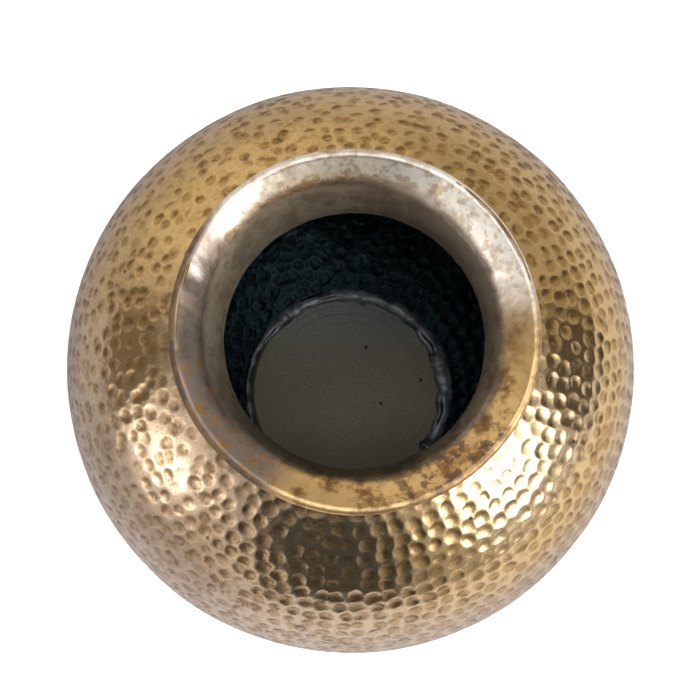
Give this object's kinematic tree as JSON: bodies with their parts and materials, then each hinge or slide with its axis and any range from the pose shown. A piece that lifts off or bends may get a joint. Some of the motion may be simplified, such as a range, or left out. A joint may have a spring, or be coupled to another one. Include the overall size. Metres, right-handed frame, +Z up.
{
  "type": "hammered brass kalash pot",
  "caption": "Round hammered sheet-brass water pot with a short neck, a wide flared wired lip, an open mouth, a flat soldered base disc and a low foot ring.",
  "frame": {"origin": "centre of the foot ring's underside, where the pot stands", "axes": "+Z up along the pot's axis, out of the mouth; +X and +Y are arbitrary because the pot is round"},
  "size_m": [0.25, 0.25, 0.2194],
  "materials": {
    "hammered_brass": "hammered, aged, half-bright golden brown",
    "collar_brass": "worn smooth, brown and grey tarnish with stains",
    "wire_brass": "drawn wire, dull",
    "foot_brass": "turned and tarnished",
    "base_sheet": "dull grey-olive tarnish",
    "solder": "rough, silvery, dark in its hollows",
    "braze": "cast fillet, dull"
  },
  "bodies": {
    "root": {"shoulder_shell": "hammered_brass", "lower_bowl": "hammered_brass", "neck_collar": "collar_brass", "rim_wire": "wire_brass", "foot_ring": "foot_brass", "base_plate": "base_sheet", "base_seam_bead": "solder", "belly_seam_braze": "braze", "neck_seam_braze": "braze", "foot_seam_braze": "braze"}
  },
  "joints": []
}
